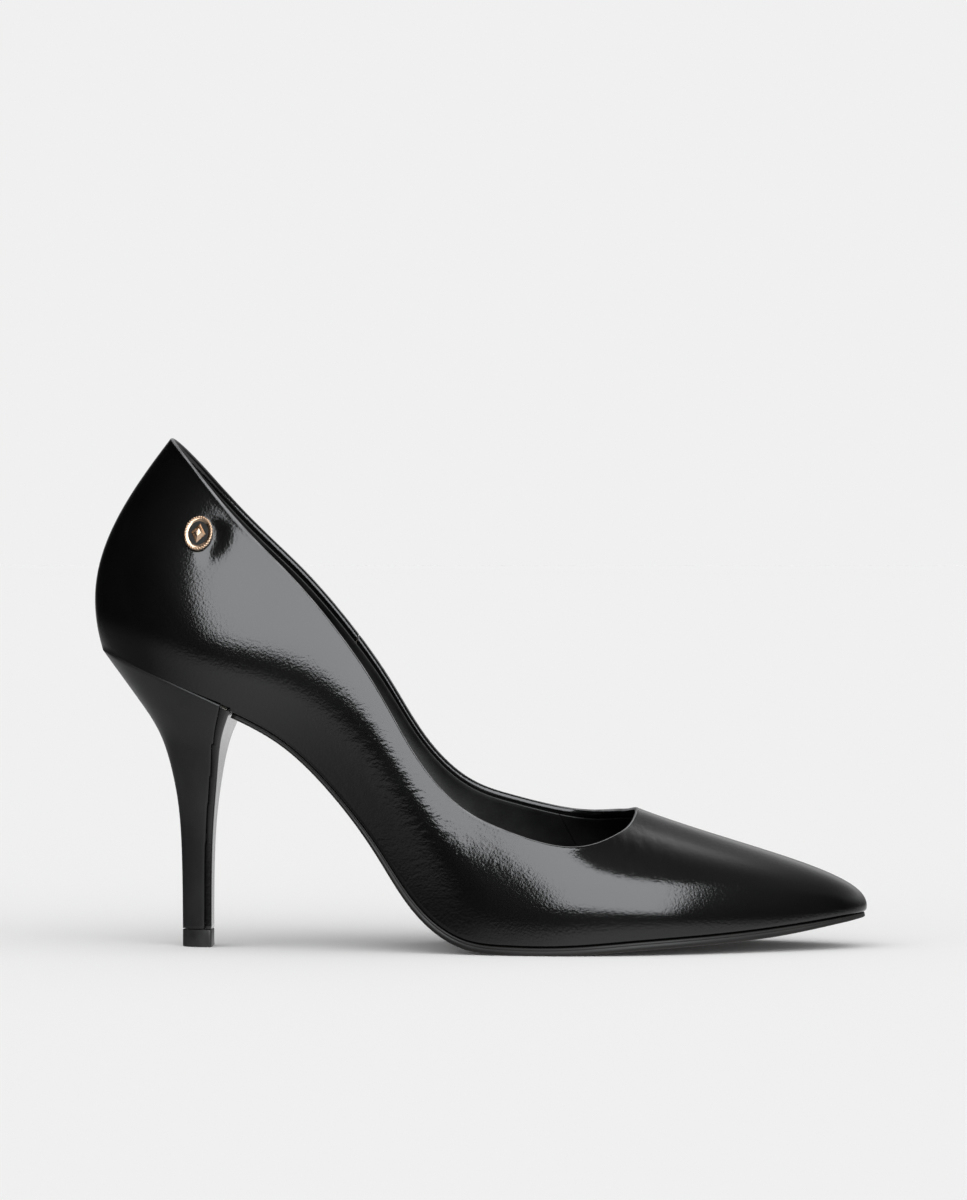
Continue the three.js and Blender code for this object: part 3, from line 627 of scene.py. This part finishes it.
@functools.lru_cache(maxsize=None)
def sock_edge(t, inset):
    """The sock's edge follows the lining where the two meet."""
    r = rib(round(t, 6), LAST_CORNER)
    gap = 0
    for k in range(21):
        wall = on_last(t, 2 + 0.04 * k, FLANGE + 0.3)
        rise = (wall - r.foot).dot(r.up)
        if k == 0 or SOCK_LOW - 1 < rise < SOCK_HIGH + 1:
            gap = max(gap, (r.foot - wall).dot(r.out))
    return r.foot - r.out * (gap + 0.3 + inset)


def sock_height(level, x):
    return SOCK_LOW + level * (SOCK_HIGH - SOCK_LOW)


SOCK_ROWS = [
    (0, 2.6, 1.1), (0.35, 2.6, 1.1), (0.7, 2.6, 1.08), (1, 2.6, 1), (1, 1.3, 0.93), (1, 0.5, 0.78),
    (1, 0.15, 0.58), (1, 0, 0.35), (1, 0.15, 0.1), (1, 0.5, 0), (1, 2.6, 0), (0.5, 2.6, 0), (0, 2.6, 0),
]
sock = piece("kid_sock", horseshoe(0, 200, sock_edge, SOCK_ROWS, sock_height), "lining_leather", "sock")
dress(glazed_kid, sock)


# ---- Heel ---------------------------------------------------------------------------------------
# A slim swept heel. One piece of the upper's leather wraps its back and sides, and a second covers the breast
# and turns round both front corners to a seam on either side.
TOP_PIECE = 5.4
TIP_HALF = 4.8
BREAST_CORNER = 0.75
WRAP = 1.45
SEAT_GROOVE = 0.3
HEEL_LEATHER = 0.7
HEEL_DIP = 0.3
SEAM_LAP = 0.12
HEEL_LEVELS = (0, 0.15, 0.3, 0.45, 0.62, 0.8, 1)


def down_heel(values):
    """Smooth run of a value down the heel, from the seat, 0, to the top piece, 1."""
    return fair(list(zip(HEEL_LEVELS, values)))


heel_back_x = down_heel([-0.493, -0.452, -0.4235, -0.4075, -0.398, -0.3945, -0.3935])
heel_back_z = down_heel([1.012, 0.85, 0.72, 0.58, 0.42, 0.23, 0])
heel_front_x = down_heel([-0.3245, -0.3355, -0.342, -0.3465, -0.351, -0.3535, -0.354])
heel_front_z = down_heel([0.79, 0.71, 0.62, 0.52, 0.39, 0.22, 0])
heel_half = down_heel([0.975, 0.72, 0.48, 0.315, 0.225, 0.195, 0.19])
heel_round = fair([(0, 2.5), (0.5, 2.1), (1, 2)])


@functools.lru_cache(maxsize=None)
def heel_girth(w):
    """The closed outline of the heel at level w, from one front corner round the back to the other and across
    the breast. Returns its points, the run along it at each, and where the breast starts."""
    reach = HEEL_HEIGHT - TUBE_BOTTOM
    back = Vector((BACK_X + LENGTH * (0.5 + heel_back_x(w)), 0, TUBE_BOTTOM + reach * heel_back_z(w)))
    front = Vector((BACK_X + LENGTH * (0.5 + heel_front_x(w)), 0, TUBE_BOTTOM + reach * heel_front_z(w)))
    depth = (front - back).length
    forward = (front - back).normalized()
    side = Vector((0, 1, 0))
    power = 2 / heel_round(w)
    half = max(heel_half(w) * SEAT_HALF, TIP_HALF)
    points = []
    for k in range(-90, 91):
        turn = math.radians(k)
        out = math.copysign(abs(math.sin(turn)) ** power, turn)
        forth = depth * (1 - math.cos(turn) ** power)
        if forth < depth - BREAST_CORNER:
            points.append(back + forward * forth + side * half * out)
    for k in range(7):
        a = math.pi / 2 * k / 6
        mark = forward * (depth + BREAST_CORNER * (math.sin(a) - 1))
        points.append(back + mark + side * (half + BREAST_CORNER * (math.cos(a) - 1)))
    for k in range(1, 20):
        points.append(back + forward * depth + side * (half - BREAST_CORNER) * (1 - k / 10))
    for k in range(7):
        a = math.pi / 2 * k / 6
        mark = forward * (depth + BREAST_CORNER * (math.cos(a) - 1))
        points.append(back + mark - side * (half + BREAST_CORNER * (math.sin(a) - 1)))
    run = [0.0]
    for a, b in zip(points, points[1:] + points[:1]):
        run.append(run[-1] + (b - a).length)
    corner = depth - BREAST_CORNER / 2
    first = next(i for i, q in enumerate(points) if q.y > 0 and (q - back).dot(forward) > corner)
    return points, run, run[first]


def on_heel(w, s):
    """The point at distance s along the outline at level w."""
    points, run, _ = heel_girth(w)
    s = s % run[-1]
    i = min(bisect.bisect_right(run, s) - 1, len(points) - 1)
    share = (s - run[i]) / max(run[i + 1] - run[i], 1e-9)
    return points[i].lerp(points[(i + 1) % len(points)], share)


def heel_skin(name, columns, span, rows, sink, node):
    """Leather on the heel over part of its outline, from the seat down to the top piece, with its rim sunk.
    span(w) gives where it starts and stops along the outline at level w."""
    def level(i, drop, along):
        low, high = -0.06, 0.5
        for _ in range(22):
            w = round((low + high) / 2, 7)
            spot = on_heel(w, along(w, i))
            if spot.z > bottom(spot.x) - drop - SEAT_GROOVE:
                low = w
            else:
                high = w
        return w

    rims = [0.0, 0.05, 0.2, 0.9]
    dips = [0.5, 0.12, 0.03, 0.0]
    sides = [(0, sink), (0.13, 0.4 * sink), (0.36, 0.1 * sink), (0.8, 0)]
    spans = [(0, *side) for side in sides] + [(k / columns, None, 0) for k in range(1, columns)]
    spans += [(1, -d, dip) for d, dip in reversed(sides)]

    def along(w, i):
        start, stop = span(w)
        share, offset, _ = spans[i]
        if offset is None:
            return start + 1.2 + (stop - start - 2.4) * share
        return (start if share == 0 else stop) + offset

    tops = [[level(i, drop, along) for drop in rims] for i in range(len(spans))]
    levels = rows + len(rims)
    faces = [(j, 0) for j in range(levels)]
    faces += [(j, HEEL_LEATHER) for j in range(levels - 1, -1, -1)] + [(0, 0)]

    def place(i, j):
        step, depth = faces[j]
        w = tops[i][step] if step < 4 else tops[i][3] + (1 - tops[i][3]) * (step - 3) / rows
        w = round(w, 7)
        s = along(w, i)
        spot = on_heel(w, s)
        run = on_heel(w, s + 0.2) - on_heel(w, s - 0.2)
        fall = on_heel(round(w + 0.01, 7), s) - on_heel(round(w - 0.01, 7), s)
        inward = fall.cross(run).normalized()
        dip = max(dips[step] if step < 4 else 0, spans[i][2])
        return world_point(spot + inward * (depth or dip))

    return piece(name, laid(len(spans) - 1, len(faces) - 1, place), "heel_leather", node)


def cover_span(w):
    return WRAP, heel_girth(w)[2] - WRAP


def breast_span(w):
    _, run, breast = heel_girth(w)
    return breast - WRAP + SEAM_LAP, run[-1] + WRAP - SEAM_LAP


heel_cover = heel_skin("polished_heel_cover", 96, cover_span, 110, HEEL_DIP, "heel_cover")
heel_breast = heel_skin("polished_breast_cover", 48, breast_span, 110, HEEL_DIP, "heel_breast_cover")
heel_calf = finish(
    "heel_calf", (0.0155, 0.0155, 0.0165), (0.0115, 0.0115, 0.0125), (0.42, 0.56), 0.7, 0.03, 12,
    {"Coat Weight": 0.55, "Coat Roughness": 0.24, "Coat IOR": 1.45, "Specular IOR Level": 0.12},
)
dress(heel_calf, heel_cover)
dress(polished_calf, heel_breast)


# ---- Top piece ----------------------------------------------------------------------------------
# The small wearing tip of hard black urethane under the heel, held by its steel pin.
TIP_COLUMNS = 96
TIP_RIM = [
    (None, 0), (1.6, 0), (0.3, 0), (0.08, 0.08), (0, 0.3), (0, 2.6), (0, TOP_PIECE - 0.3),
    (0.08, TOP_PIECE - 0.08), (0.25, TOP_PIECE), (1.6, TOP_PIECE), (None, TOP_PIECE),
]


def tip_place(i, j):
    inset, height = TIP_RIM[j]
    _, run, _ = heel_girth(1.0)
    spot = on_heel(1.0, run[-1] * i / TIP_COLUMNS)
    middle = Vector((STEM_X, 0, spot.z))
    if inset is None:
        spot = middle
    elif inset:
        spot = spot.lerp(middle, inset / (spot - middle).length)
    spot.z = height
    return world_point(spot)


top_piece = piece(
    "urethane_top_piece", laid(TIP_COLUMNS, len(TIP_RIM) - 1, tip_place), "top_piece_rubber", "top_piece",
)
hard_urethane = finish(
    "hard_urethane", (0.02, 0.02, 0.02), (0.013, 0.013, 0.013), (0.38, 0.5), 0.3, 0.012, 4,
    {"Specular IOR Level": 0.5},
)
dress(hard_urethane, top_piece)


# ---- Ornament -----------------------------------------------------------------------------------
# A small oval plaque in pale gold with a beaded rim and a lozenge boss, riveted through the outer quarter.
ORNAMENT_TURN = math.radians(14)
ORNAMENT_STAND = 0.45
PLAQUE_WIDE = 9.3
PLAQUE_TALL = 11.7
BEADS = 34

plaque_climb = on_last(ORNAMENT_T, ORNAMENT_ROW + 0.05, 0) - on_last(ORNAMENT_T, ORNAMENT_ROW - 0.05, 0)
plaque_up = plaque_climb.normalized()
plaque_ahead = on_last(ORNAMENT_T + 0.01, ORNAMENT_ROW, 0) - on_last(ORNAMENT_T - 0.01, ORNAMENT_ROW, 0)
plaque_out = plaque_ahead.cross(plaque_up).normalized()
plaque_centre = world_point(on_last(ORNAMENT_T, ORNAMENT_ROW, -ORNAMENT_STAND))
plaque_frame = (
    Matrix.Translation(plaque_centre)
    @ Matrix((plaque_up.cross(plaque_out), plaque_up, plaque_out)).transposed().to_4x4()
    @ Matrix.Rotation(ORNAMENT_TURN, 4, "Z")
    @ Matrix.Diagonal((0.001, 0.001, 0.001, 1))
)

bm = bmesh.new()
bmesh.ops.create_circle(bm, cap_ends=True, segments=64, radius=PLAQUE_TALL / 2 - 0.35)
plate = bmesh.ops.extrude_face_region(bm, geom=bm.faces[:])
raised = [v for v in plate["geom"] if isinstance(v, bmesh.types.BMVert)]
bmesh.ops.translate(bm, verts=raised, vec=(0, 0, 0.75))
rim_edges = [e for e in bm.edges if all(v.co.z > 0.7 for v in e.verts)]
bmesh.ops.bevel(bm, geom=rim_edges, offset=0.18, segments=3, profile=0.5, affect="EDGES", material=-1)
face = max(bm.faces, key=lambda f: (f.calc_center_median().z, f.calc_area()))
bmesh.ops.inset_region(bm, faces=[face], thickness=1.15, depth=0)
bmesh.ops.inset_region(bm, faces=[face], thickness=0.3, depth=-0.28)
face.material_index = 1
bmesh.ops.scale(bm, verts=bm.verts, vec=(PLAQUE_WIDE / PLAQUE_TALL, 1, 1))
for k in range(BEADS):
    a = 2 * math.pi * k / BEADS
    bead = bmesh.ops.create_icosphere(bm, subdivisions=2, radius=0.44)
    where = Vector((math.sin(a) * (PLAQUE_WIDE / 2 - 0.75), math.cos(a) * (PLAQUE_TALL / 2 - 0.75), 0.78))
    bmesh.ops.translate(bm, verts=bead["verts"], vec=where)
boss = bmesh.ops.create_cone(bm, cap_ends=True, segments=4, radius1=3.3, radius2=1.2, depth=1.1)
bmesh.ops.scale(bm, verts=boss["verts"], vec=(0.72, 1, 1))
bmesh.ops.translate(bm, verts=boss["verts"], vec=(0, 0, 0.95))
boss_corners = set(boss["verts"])
ridge = [e for e in bm.edges if e.calc_length() > 0.4 and boss_corners.intersection(e.verts)]
bmesh.ops.bevel(bm, geom=ridge, offset=0.09, segments=2, profile=0.5, affect="EDGES", material=-1)
bmesh.ops.transform(bm, matrix=plaque_frame, verts=bm.verts)
ornament = piece("gilt_ornament", bm, "gold", "ornament")
for polygon in ornament.data.polygons:
    polygon.use_smooth = len(polygon.vertices) < 5
pale_gilt = finish(
    "pale_gilt", (0.68, 0.5, 0.36), (0.56, 0.4, 0.28), (0.2, 0.32), 0.5, 0.012, 2.5, {"Metallic": 1.0},
)
black_enamel = finish(
    "black_enamel", (0.003, 0.003, 0.003), (0.0015, 0.0015, 0.0015), (0.4, 0.55), 0.3, 0.02, 3,
    {"Specular IOR Level": 0.25},
)
ornament.data.materials.append(pale_gilt)
ornament.data.materials.append(black_enamel)


# ---- Inside parts -------------------------------------------------------------------------------
# The stiffening, the boards and the hardware hidden between the skins keep their CAD shape, and each takes
# the finish of what it is cut, moulded or turned from.
fibreboard = finish("fibreboard", (0.36, 0.25, 0.15), (0.27, 0.18, 0.1), (0.75, 0.9), 0.35, 0.06, 3)
moulded_thermoplastic = finish(
    "moulded_thermoplastic", (0.72, 0.68, 0.6), (0.62, 0.58, 0.5), (0.4, 0.55), 0.4, 0.02,
)
zinc_steel = finish(
    "zinc_steel", (0.56, 0.57, 0.58), (0.44, 0.45, 0.46), (0.24, 0.4), 0.3, 0.008, 3, {"Metallic": 1.0},
)
latex_foam = finish("latex_foam", (0.66, 0.6, 0.5), (0.52, 0.46, 0.38), (0.85, 0.95), 0.5, 0.15, 3)
heel_plastic = finish("heel_plastic", (0.7, 0.67, 0.6), (0.6, 0.57, 0.5), (0.42, 0.55), 0.6, 0.02)

dress(fibreboard, part["heel_counter"], part["insole_shank_board"], part["insole_forepart_board"])
dress(moulded_thermoplastic, part["toe_puff"])
dress(
    interlining_cloth,
    part["vamp_interlining"], part["outer_quarter_interlining"], part["inner_quarter_interlining"],
)
dress(zinc_steel, part["steel_shank"], part["heel_tube"], part["top_piece_pin"], part["heel_screw"])
dress(zinc_steel, part["shank_rivet_rear"], part["shank_rivet_front"])
dress(zinc_steel, *[part[f"heel_nail_{k}"] for k in (1, 2, 3, 4)])
dress(latex_foam, part["sock_foam"], part["waist_filler"], part["forepart_filler"])
dress(heel_plastic, part["heel_core"])


# ---- Floor and light ----------------------------------------------------------------------------
# A pale floor under an even white studio. Gloss sees one large softbox above the camera, a dark room round it,
# and a backdrop behind the shoe, which is dimmer towards the heel.
PAPER = 0.871

bm = bmesh.new()
bmesh.ops.create_grid(bm, x_segments=4, y_segments=4, size=40)
floor_mesh = bpy.data.meshes.new("studio_floor")
bm.to_mesh(floor_mesh)
bm.free()
floor = bpy.data.objects.new("studio_floor", floor_mesh)
scene.collection.objects.link(floor)
paper = bpy.data.materials.new("floor_paper")
paper.use_nodes = True
paper_shader = paper.node_tree.nodes["Principled BSDF"]
paper_shader.inputs["Base Color"].default_value = (PAPER, PAPER, PAPER, 1)
paper_shader.inputs["Roughness"].default_value = 1
paper_shader.inputs["Specular IOR Level"].default_value = 0
floor.data.materials.append(paper)
floor.visible_glossy = False


def softbox(name, centre, aim, roll, wide, tall, radiance):
    """A soft light that shows only in gloss, so the even floor stays even."""
    lamp = bpy.data.lights.new(name, "AREA")
    lamp.shape = "RECTANGLE"
    lamp.size = wide
    lamp.size_y = tall
    lamp.energy = radiance * math.pi * wide * tall
    lamp.color = (0.96, 0.98, 1.0)
    made = bpy.data.objects.new(name, lamp)
    made.location = centre
    made.rotation_euler = (Vector(aim) - Vector(centre)).to_track_quat("-Z", "Y").to_euler()
    made.rotation_euler.rotate_axis("Z", roll)
    made.visible_diffuse = False
    scene.collection.objects.link(made)


KEY_TURN = math.radians(19)
KEY_RISE = math.radians(34)
KEY_ROLL = math.radians(-8)
KEY_AWAY = 2.2
KEY_AIM = 0.1
KEY_WIDE = 1.83
KEY_TALL = 2.34
KEY_RADIANCE = 5.6
key_centre = (
    KEY_AWAY * math.cos(KEY_RISE) * math.sin(KEY_TURN),
    -KEY_AWAY * math.cos(KEY_RISE) * math.cos(KEY_TURN),
    KEY_AIM + KEY_AWAY * math.sin(KEY_RISE),
)
softbox("key_softbox", key_centre, (0, 0, KEY_AIM), KEY_ROLL, KEY_WIDE, KEY_TALL, KEY_RADIANCE)

world = bpy.data.worlds.new("studio")
scene.world = world
world.use_nodes = True
nodes = world.node_tree.nodes
link = world.node_tree.links.new
nodes.clear()
output = nodes.new("ShaderNodeOutputWorld")
rays = nodes.new("ShaderNodeLightPath")
direction = nodes.new("ShaderNodeTexCoord")
axes = nodes.new("ShaderNodeSeparateXYZ")
link(direction.outputs["Generated"], axes.inputs["Vector"])


def by_height(stops):
    """Brightness by the height of a direction, from -1, straight down, to 1, straight up."""
    scaled = nodes.new("ShaderNodeMapRange")
    scaled.inputs["From Min"].default_value = -1
    link(axes.outputs["Z"], scaled.inputs["Value"])
    ramp = nodes.new("ShaderNodeValToRGB")
    elements = ramp.color_ramp.elements
    while len(elements) < len(stops):
        elements.new(0.5)
    for element, (height, level) in zip(elements, stops):
        element.position = (height + 1) / 2
        element.color = (level, level, level, 1)
    link(scaled.outputs["Result"], ramp.inputs["Fac"])
    return ramp.outputs["Color"]


def by_axis(axis, low, high, at_low=0.0, at_high=1.0):
    """A value that goes from one level to another between two reaches of a direction along an axis."""
    scaled = nodes.new("ShaderNodeMapRange")
    scaled.inputs["From Min"].default_value = low
    scaled.inputs["From Max"].default_value = high
    scaled.inputs["To Min"].default_value = at_low
    scaled.inputs["To Max"].default_value = at_high
    link(axes.outputs[axis], scaled.inputs["Value"])
    return scaled.outputs["Result"]


camera_side = by_height([(-1, 0.9), (-0.2, 0.82), (-0.07, 0.015), (0.55, 0.01), (0.85, 0.06), (1, 0.2)])
backdrop_side = by_height([
    (-1, 0.85), (-0.1, 0.8), (0.02, 0.18), (0.2, 0.4), (0.45, 0.95), (0.75, 0.32), (1, 0.05),
])
backdrop_share = nodes.new("ShaderNodeMath")
backdrop_share.operation = "MULTIPLY"
link(by_axis("Y", -0.25, 0.35), backdrop_share.inputs[0])
link(by_axis("X", -0.55, -0.1), backdrop_share.inputs[1])
heel_end = by_axis("X", -0.8, 0, 0.15)
gloss = nodes.new("ShaderNodeMix")
gloss.data_type = "RGBA"
link(backdrop_share.outputs["Value"], gloss.inputs["Factor"])
link(camera_side, gloss.inputs["A"])
link(backdrop_side, gloss.inputs["B"])


def sky(level, colour=None, strength=None):
    """Light from all round, even unless a colour or a strength by direction is given."""
    light = nodes.new("ShaderNodeBackground")
    light.inputs["Color"].default_value = (level, level, level, 1)
    if colour is not None:
        link(colour, light.inputs["Color"])
    if strength is not None:
        link(strength, light.inputs["Strength"])
    return light.outputs["Background"]


front_light = by_axis("Y", -0.4, 0.4, 1.6, 0.4)
lit = nodes.new("ShaderNodeMixShader")
link(rays.outputs["Is Glossy Ray"], lit.inputs["Fac"])
link(sky(1.0, front_light), lit.inputs[1])
link(sky(1.0, gloss.outputs["Result"], heel_end), lit.inputs[2])
seen = nodes.new("ShaderNodeMixShader")
link(rays.outputs["Is Camera Ray"], seen.inputs["Fac"])
link(lit.outputs["Shader"], seen.inputs[1])
link(sky(PAPER), seen.inputs[2])
link(seen.outputs["Shader"], output.inputs["Surface"])

scene.view_settings.view_transform = "Standard"
